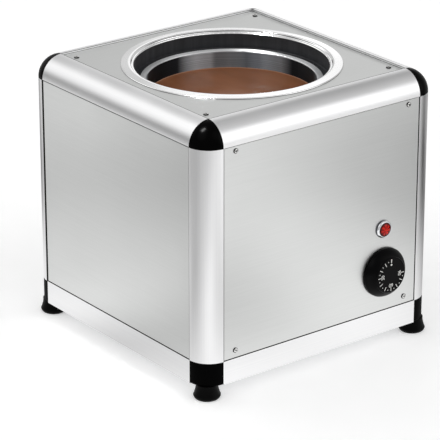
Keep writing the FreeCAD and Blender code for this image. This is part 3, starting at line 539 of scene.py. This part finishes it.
def lamp_chrome():
    """Chrome-plated brass bezel: a mirror in front, with painted shade in the corner where it meets the
    panel.
    """
    material, tree, shader, place = new_material("chrome_plated_brass", "#e4e5e8", {"Metallic": 1.0})
    mottle_size = 2 * mm
    mottle = grains(tree, place, mottle_size)
    depth = add_node(tree, "ShaderNodeSeparateXYZ", {"Vector": place}).outputs["Y"]
    depth = add_node(tree, "ShaderNodeMath", {0: depth}, operation="ABSOLUTE")
    # Painted shade: the bezel's corner by the panel is dark.
    skirt_shade = share(tree, under(depth, bezel_shade_reach, 3 * soft))
    feed(tree, shader, {
        "Base Color": covered(tree, uneven(tree, mottle, "#dcdde0", "#ececee"), "#5c5e63", skirt_shade),
        "Roughness": uneven(tree, mottle, 0.05, 0.09),
    })
    return material


def red_acrylic():
    """Clear red acrylic lens: painted shade makes it deep red at its rim and in a star of dark rays, which
    are painted facet reflections, and leaves its middle lighter."""
    constants = {"IOR": 1.49, "Roughness": 0.06, "Specular IOR Level": 0.15}
    material, tree, shader, place = new_material("red_acrylic", "#c01008", constants)
    cloud_size = 1.6 * mm
    low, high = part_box("lamp_lens")
    middle = ((low.x + high.x) / 2, low.y, (low.z + high.z) / 2)
    from_middle = add_node(tree, "ShaderNodeVectorMath", {0: place, 1: middle}, operation="SUBTRACT")
    away = add_node(tree, "ShaderNodeVectorMath", {0: from_middle}, operation="LENGTH")
    axes = add_node(tree, "ShaderNodeSeparateXYZ", {"Vector": from_middle}).outputs
    turn = add_node(tree, "ShaderNodeMath", {0: axes["Z"], 1: axes["X"]}, operation="ARCTAN2")
    turns = add_node(tree, "ShaderNodeMath", {0: turn, 1: lens_rays}, operation="MULTIPLY")
    wave = add_node(tree, "ShaderNodeMath", {0: turns}, operation="SINE")
    clear = uneven(tree, grains(tree, place, cloud_size), "#a80603", "#f8301e")
    # Painted facet reflections as a star of dark rays, and painted shade at the rim.
    painted_rays = share(tree, (wave, ray_shade_start, ray_shade_full), over(away, lens_core, lens_core_soft))
    rim = share(tree, (away, lens_rim_shade_start, lens_rim_shade_full))
    rayed = covered(tree, clear, "#7c0402", painted_rays)
    feed(tree, shader, {"Base Color": covered(tree, rayed, "#4a0302", rim)})
    return material


def melted_chocolate():
    """Melted milk chocolate: dense brown, light soaks in a little, and the surface is wet and glossy;
    where it is drawn up the wall it is a thin film, painted lighter as a painted highlight."""
    constants = {
        "IOR": 1.46,
        "Specular IOR Level": 0.36,
        "Subsurface Weight": 0.25,
        "Subsurface Radius": (1.0, 0.45, 0.25),
        "Subsurface Scale": 1.5 * mm,
    }
    material, tree, shader, place = new_material("melted_milk_chocolate", "#8e5c42", constants)
    swirl_length = 55 * mm
    swirl_width = 30 * mm
    swirl = grains(tree, place, along("y", swirl_length, swirl_width))
    radius = turned(tree, place)[0]
    # Painted highlight: a lighter strip along the wall.
    film = share(tree, over(radius, chocolate_wall - meniscus_highlight_width, 3 * soft))
    feed(tree, shader, {
        "Base Color": covered(tree, uneven(tree, swirl, "#8c5b3f", "#9b6647"), "#b5846a", film),
        "Roughness": uneven(tree, swirl, 0.12, 0.18),
    })
    return material


def screw_steel(axis, node):
    """Nickel-plated screw: a bright domed head, with painted shade black in its cross recess and round
    its edge."""
    name = f"nickel_plated_screw_{axis}"
    material, tree, shader, place = new_material(name, "#c8c8c6", {"Metallic": 1.0})
    mottle_size = 0.8 * mm
    mottle = grains(tree, place, mottle_size, detail=3.0)
    normal = add_node(tree, "ShaderNodeTexCoord").outputs["Normal"]
    depth = add_node(tree, "ShaderNodeSeparateXYZ", {"Vector": place}).outputs[axis.upper()]
    depth = add_node(tree, "ShaderNodeMath", {0: depth}, operation="ABSOLUTE")
    facing = add_node(tree, "ShaderNodeSeparateXYZ", {"Vector": normal}).outputs[axis.upper()]
    facing = add_node(tree, "ShaderNodeMath", {0: facing}, operation="ABSOLUTE")
    dome_top = max(abs(getattr(corner, axis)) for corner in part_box(node))
    # Painted shade: black in the recess and on the sides that turn away from the panel's face.
    recess_shade = share(tree, under(depth, dome_top - screw_recess, soft / 2))
    side_shade = share(tree, under(facing, steep_face, steep_fade))
    feed(tree, shader, {
        "Base Color": covered(tree, uneven(tree, mottle, "#d8d8d6", "#f2f2f0"), "#101010", recess_shade, side_shade),
        "Roughness": uneven(tree, mottle, 0.10, 0.18),
    })
    return material


def printing_ink():
    """White pad-printing ink on the dial: thin and flat, slightly uneven."""
    material, tree, shader, place = new_material("white_printing_ink", "#e8e8e4", {"Roughness": 0.5})
    mottle_size = 0.4 * mm
    mottle = grains(tree, place, mottle_size)
    feed(tree, shader, {"Base Color": uneven(tree, mottle, "#d6d6d2", "#f2f2ee")})
    return material


def mesh_object(name, points, faces, material, smooth=True):
    """A piece from an (n, 3) array of points and a list of faces, each a list of corner numbers."""
    mesh = bpy.data.meshes.new(name)
    mesh.from_pydata(points.tolist(), [], faces)
    if smooth:
        mesh.shade_smooth()
    mesh.materials.append(material)
    piece = bpy.data.objects.new(name, mesh)
    scene.collection.objects.link(piece)
    return piece


def tick_outline(degrees, outer, length, width):
    """A bar on the ray at an angle: four corners, width across, from its outer radius inwards."""
    angle = math.radians(degrees)
    ray = np.array([math.sin(angle), math.cos(angle)])
    side = np.array([ray[1], -ray[0]]) * width / 2
    inner = outer - length
    return np.array([inner * ray + side, inner * ray - side, outer * ray - side, outer * ray + side])


def dot_outline(degrees, place, radius):
    """A small circle, its middle at radius place on the ray at an angle: middle + radius (cos, sin)."""
    angle = math.radians(degrees)
    turn = np.linspace(0, 2 * np.pi, dial_dot_corners, endpoint=False)
    middle = place * np.array([math.sin(angle), math.cos(angle)])
    return middle + radius * np.column_stack([np.cos(turn), np.sin(turn)])


def printed_plate(outline, centre, first):
    """Points and faces of a closed outline (n, 2) printed on the dial, a plate as thick as the ink.

    Seen from the front, x = middle + u and z = middle + w, with y on the dial and again one thickness
    of ink in front of it. Corners are counted from first.
    """
    count = len(outline)
    back = centre + np.column_stack([outline[:, 0], np.zeros(count), outline[:, 1]])
    front = back - (0, dial_ink, 0)
    ring = first + np.arange(count)
    after = np.roll(ring, -1)
    sides = np.column_stack([ring, after, after + count, ring + count]).tolist()
    return np.vstack([back, front]), [ring[::-1].tolist(), (ring + count).tolist()] + sides


def printed_number(text, degrees, centre, material):
    """One printed number, upright when its tick is turned to the top.

    Each point (u, w) of the flat text is turned by the angle: x = u cos + w sin, z = w cos - u sin.
    """
    name = f"dial_number_{text}"
    curve = bpy.data.curves.new(name, "FONT")
    curve.body = text
    curve.size = dial_number_height / font_number_share
    curve.align_x = "CENTER"
    curve.align_y = "CENTER"
    curve.extrude = dial_ink / 2
    curve.offset = dial_number_weight
    holder = bpy.data.objects.new("number_holder", curve)
    scene.collection.objects.link(holder)
    bpy.context.view_layer.update()
    mesh = bpy.data.meshes.new_from_object(holder)
    bpy.data.objects.remove(holder)
    points = np.zeros(len(mesh.vertices) * 3)
    mesh.vertices.foreach_get("co", points)
    points = points.reshape(-1, 3)
    middle = (points.min(0) + points.max(0)) / 2
    angle = math.radians(degrees)
    u = points[:, 0] - middle[0]
    w = points[:, 1] - middle[1] + dial_number_place
    x = u * math.cos(angle) + w * math.sin(angle)
    z = w * math.cos(angle) - u * math.sin(angle)
    placed = np.column_stack([centre[0] + x, centre[1] - points[:, 2], centre[2] + z])
    mesh.vertices.foreach_set("co", placed.ravel())
    mesh.materials.clear()
    mesh.materials.append(material)
    mesh.name = name
    mesh.update()
    piece = bpy.data.objects.new(name, mesh)
    scene.collection.objects.link(piece)
    return piece


def make_dial():
    """Marks printed on the knob: a pointer at the top, dots and ticks by turns, and three numbers."""
    ink = printing_ink()
    low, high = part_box("control_knob")
    centre = np.array([(low.x + high.x) / 2, low.y, (low.z + high.z) / 2])
    outlines = [
        tick_outline(0, pointer_outer, pointer_length, pointer_width),
        dot_outline(0, pointer_dot_place, pointer_dot_radius),
    ]
    for i in range(dial_marks):
        degrees = dial_first_mark - dial_step * i
        if i % 2:
            outlines.append(tick_outline(degrees, dial_mark_outer, dial_tick_length, dial_tick_width))
        else:
            outlines.append(dot_outline(degrees, dial_dot_place, dial_dot_radius))
    points = np.empty((0, 3))
    faces = []
    for outline in outlines:
        corners, plate = printed_plate(outline, centre, len(points))
        points = np.vstack([points, corners])
        faces += plate
    pieces = [mesh_object("dial_marks", points, faces, ink, smooth=False)]
    pieces += [printed_number(text, degrees, centre, ink) for text, degrees in dial_numbers]
    for piece in pieces:
        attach(piece, "knob_and_spindle")


def turned_surface(profile, steps):
    """Grid of a profile (n, 2) of radius and height carried once round the z axis in equal steps.

    x = radius cos turn, y = radius sin turn and z = height, a row for each point of the profile.
    """
    turn = np.linspace(0, 2 * np.pi, steps, endpoint=False)
    radius, height = profile.T[:, :, None]
    return radius * np.cos(turn), radius * np.sin(turn), np.repeat(height, steps, axis=1)


def capped(x, y, z):
    """Points and faces of a turned grid, with a middle point closing its first and last row.

    A face joins two neighbours of a row to the same two of the next row, and a fan fills each end.
    """
    rows, steps = x.shape
    grid = np.stack([x, y, z], axis=-1).reshape(-1, 3)
    points = np.vstack([grid, [0, 0, z[0].mean()], [0, 0, z[-1].mean()]])
    ring = np.arange(steps)
    after = (ring + 1) % steps
    start = np.arange(rows - 1)[:, None] * steps
    walls = np.stack([start + ring, start + after, start + steps + after, start + steps + ring], axis=-1)
    top = np.column_stack([np.full(steps, rows * steps), after, ring])
    last = (rows - 1) * steps
    bottom = np.column_stack([np.full(steps, rows * steps + 1), last + ring, last + after])
    return points, walls.reshape(-1, 4).tolist() + top.tolist() + bottom.tolist()


def make_chocolate():
    """The filling: what the pan holds, its top drawn up the wall and lying in faint slow ripples.

    Height = level + rise * exp(-(wall - r) / reach) + two crossed slow waves that die out at the wall.
    A wave is the sine of place / length + bend * sine of (the other place / length of the bend).
    """
    wall = chocolate_wall
    inner = np.linspace(chocolate_middle, wall - meniscus_width, steps_middle)
    rise = np.sin(np.linspace(0, np.pi / 2, steps_wall)[1:])
    radius = np.concatenate([inner, wall - meniscus_width * (1 - rise)])
    level = chocolate_high.z - chocolate_level_drop
    top = level + meniscus_rise * np.exp(-(wall - radius) / meniscus_reach)
    turn = np.linspace(0, np.pi / 2, steps_bend)
    bend = chocolate_bottom_bend
    bottom = chocolate_low.z + chocolate_wall_gap
    side = np.column_stack([wall - bend + bend * np.cos(turn), bottom + bend - bend * np.sin(turn)])
    x, y, z = turned_surface(np.vstack([np.column_stack([radius, top]), side]), steps_round)
    waves = sum(
        np.sin(here / length + sway * np.sin(there / sway_length))
        for here, there, (length, sway, sway_length) in ((x, y, ripple_across), (y, x, ripple_along))
    )
    calm = np.clip((wall - np.hypot(x, y)) / ripple_calm, 0, 1)
    on_top = np.arange(len(z))[:, None] < len(radius)
    z = z + on_top * calm * ripple_height / 2 * waves
    filling = mesh_object("chocolate_filling", *capped(x, y, z), melted_chocolate())
    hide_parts("chocolate")
    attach(filling, "lift_out_pan")


def dress():
    """Gives every kept CAD node the material of the real piece: by its name, or else by its slot."""
    sheet = ("#c9cac9", "#cdcecd")
    top_sheet = ("#bcbdbc", "#c0c1c0")
    fine = 0.006 * mm
    coarse = 0.010 * mm
    by_slot = {
        "brushed_steel": brushed_steel("brushed_stainless_x", "x", *sheet),
        "base_steel": plain_metal("zinc_coated_sheet", ("#aab0b4", "#c6cacc"), (0.30, 0.45), 7 * mm),
        "polished_steel": well_steel(),
        "pan_steel": pan_steel(),
        "black_moulding": black_moulding("moulded_black_nylon", "#010101", (0.18, 0.22), fine, 0.034),
        "foot_rubber": black_moulding("moulded_black_rubber", "#070707", (0.40, 0.48), coarse, 0.04),
        "knob_plastic": black_moulding("moulded_black_phenolic", "#020203", (0.26, 0.34), fine, 0.06),
        "screw_steel": plain_metal("nickel_plated_steel", ("#5e5e5c", "#7c7c7a"), (0.10, 0.18)),
        "silicone": plain_solid("white_silicone", ("#cfcfca", "#dededa"), 0.50),
        "heater_steel": plain_metal("heat_toned_steel", ("#8b8378", "#b0a89b"), (0.35, 0.50), 6 * mm),
        "mineral_wool": plain_solid("mineral_wool", ("#b3a270", "#cfc194"), 0.95, 1.2 * mm, 0.5 * mm),
        "thermostat_housing": plain_solid("cream_phenolic", ("#cfc8b2", "#dcd6c2"), 0.45),
        "copper": plain_metal("drawn_copper", ("#b06a45", "#c98560"), (0.25, 0.40), 3 * mm),
        "lamp_chrome": lamp_chrome(),
        "lamp_red": red_acrylic(),
        "nylon": plain_solid("natural_nylon", ("#dcd9cf", "#e8e6dd"), 0.40),
        "gland_polyamide": black_moulding("moulded_black_polyamide", "#0c0c0d", (0.38, 0.46), coarse, 0.3),
    }
    side_sheet = brushed_steel("brushed_stainless_y", "y", *sheet)
    matt_block = black_moulding("moulded_black_nylon_matt", "#010101", (0.44, 0.52), fine, 0.02)
    by_name = {
        "left_panel": side_sheet,
        "right_panel": side_sheet,
        "top_plate": brushed_steel("brushed_stainless_top", "x", *top_sheet),
    }
    for face, axis in (("front_panel", "y"), ("back_panel", "y"), ("top_plate", "z")):
        by_name[f"{face}_screws"] = screw_steel(axis, f"{face}_screws")
    for corner, width in post_joint_shade.items():
        by_name[f"corner_post_{corner}"] = satin_aluminium("z", "post", width)
        by_name[f"corner_block_{corner}"] = matt_block
    for axis, sides in (("x", ("front", "back")), ("y", ("left", "right"))):
        rail = satin_aluminium(axis, "rail", rail_joint_shade[axis])
        band = satin_aluminium(axis, "band")
        for side in sides:
            by_name[f"top_rail_{side}"] = rail
            by_name[f"bottom_rail_{side}"] = band
    slots = {part["node"]: part["material_slot"] for part in record["subparts"]}
    for name, piece in nodes.items():
        if name != "chocolate":
            piece.data.materials.clear()
            piece.data.materials.append(by_name.get(name) or by_slot[slots[name]])


def make_glint_lamp():
    """A soft box: its power is pi times its area times the brightness of its face.

    It is there for its glint alone, so dull surfaces don't see it.
    """
    lamp = bpy.data.lights.new("overhead_spot", "AREA")
    lamp.shape = "RECTANGLE"
    lamp.size = glint_width
    lamp.size_y = glint_height
    lamp.energy = math.pi * glint_width * glint_height * glint_brightness
    holder = bpy.data.objects.new("overhead_spot", lamp)
    holder.location = glint_place
    holder.visible_diffuse = False
    holder.rotation_mode = "QUATERNION"
    holder.rotation_quaternion = (Vector(glint_aim) - Vector(glint_place)).to_track_quat("-Z", "Y")
    scene.collection.objects.link(holder)


def brightened(tree, level, patches):
    """The level, changed over soft patches: each is (measure, gone at, full at, change)."""
    for measure, gone, full, change in patches:
        inputs = {"Value": measure, "From Min": gone, "From Max": full}
        patch = add_node(tree, "ShaderNodeMapRange", inputs, interpolation_type="SMOOTHSTEP")
        added = {0: patch, 1: change, 2: level}
        level = add_node(tree, "ShaderNodeMath", added, operation="MULTIPLY_ADD")
    return level


def make_room():
    """A pale room that is uneven, as a studio with its flats and screens is, and white to the camera.

    A patch is measured by the cosine between a direction and the patch's own.
    """
    world = bpy.data.worlds.new("pale_room")
    world.use_nodes = True
    tree = world.node_tree
    direction = add_node(tree, "ShaderNodeTexCoord").outputs["Generated"]
    patches = []
    for *angles, change in room_patches:
        azimuth, elevation, full, gone = np.radians(angles).tolist()
        flat = math.cos(elevation)
        way = (flat * math.sin(azimuth), flat * math.cos(azimuth), math.sin(elevation))
        cosine = add_node(tree, "ShaderNodeVectorMath", {0: direction, 1: way}, operation="DOT_PRODUCT")
        patches.append((cosine, math.cos(gone), math.cos(full), change))
    room = tree.nodes["Background"]
    feed(tree, room, {"Color": "#ffffff", "Strength": brightened(tree, room_level, patches)})
    white = add_node(tree, "ShaderNodeBackground", {"Color": "#ffffff"})
    seen = add_node(tree, "ShaderNodeLightPath").outputs["Is Camera Ray"]
    surface = add_node(tree, "ShaderNodeMixShader", {"Fac": seen, 1: room, 2: white})
    feed(tree, tree.nodes["World Output"], {"Surface": surface})
    scene.world = world


def make_floor():
    """A table under studio paper, matt and faintly cloudy, and far wider than the view: white to the
    camera but for the object's soft shadow, and to the metal a sheet lit in pools."""
    material, tree, shader, place = new_material("studio_paper", "#f0f0f0", {"Roughness": 0.9})
    cloud_size = 30 * mm
    clouds = grains(tree, place, cloud_size)
    feed(tree, shader, {"Base Color": uneven(tree, clouds, "#eeeeee", "#f2f2f2")})
    path = add_node(tree, "ShaderNodeLightPath").outputs
    seen = path["Is Camera Ray"]
    lift = add_node(tree, "ShaderNodeMath", {0: seen, 1: table_lift}, operation="MULTIPLY")
    lifting = add_node(tree, "ShaderNodeEmission", {"Strength": lift})
    paper = add_node(tree, "ShaderNodeAddShader", {0: shader, 1: lifting})
    pools = []
    for x, y, full, gone, change in table_pools:
        away = add_node(tree, "ShaderNodeVectorMath", {0: place, 1: (x, y, 0)}, operation="DISTANCE")
        pools.append((away, gone, full, change))
    glow = add_node(tree, "ShaderNodeEmission", {"Strength": brightened(tree, table_level, pools)})
    rays = {0: path["Is Glossy Ray"], 1: path["Is Transmission Ray"]}
    mirrored = add_node(tree, "ShaderNodeMath", rays, operation="MAXIMUM")
    surface = add_node(tree, "ShaderNodeMixShader", {"Fac": mirrored, 1: paper, 2: glow})
    feed(tree, tree.nodes["Material Output"], {"Surface": surface})
    corners = table_reach * np.array([[-1, -1, 0], [1, -1, 0], [1, 1, 0], [-1, 1, 0]])
    mesh_object("table_top", corners, [[0, 1, 2, 3]], material, smooth=False)


def make_camera():
    """A long lens at the photograph's angle, aimed a little below the middle of the housing and to its
    left."""
    azimuth = math.radians(camera_azimuth)
    elevation = math.radians(camera_elevation)
    back = Vector((
        math.sin(azimuth) * math.cos(elevation),
        -math.cos(azimuth) * math.cos(elevation),
        math.sin(elevation),
    ))
    right = Vector((math.cos(azimuth), math.sin(azimuth), 0))
    aim = right * aim_sideways + Vector((0, 0, aim_height))
    lens = bpy.data.cameras.new("photo_camera")
    lens.lens = camera_lens
    lens.sensor_width = camera_sensor
    camera = bpy.data.objects.new("photo_camera", lens)
    camera.location = aim + back * camera_distance
    camera.rotation_mode = "QUATERNION"
    camera.rotation_quaternion = (-back).to_track_quat("-Z", "Y")
    scene.collection.objects.link(camera)
    scene.camera = camera


scene.view_settings.view_transform = "Standard"
make_camera()
make_floor()
make_glint_lamp()
make_room()
dress()
make_chocolate()
make_dial()
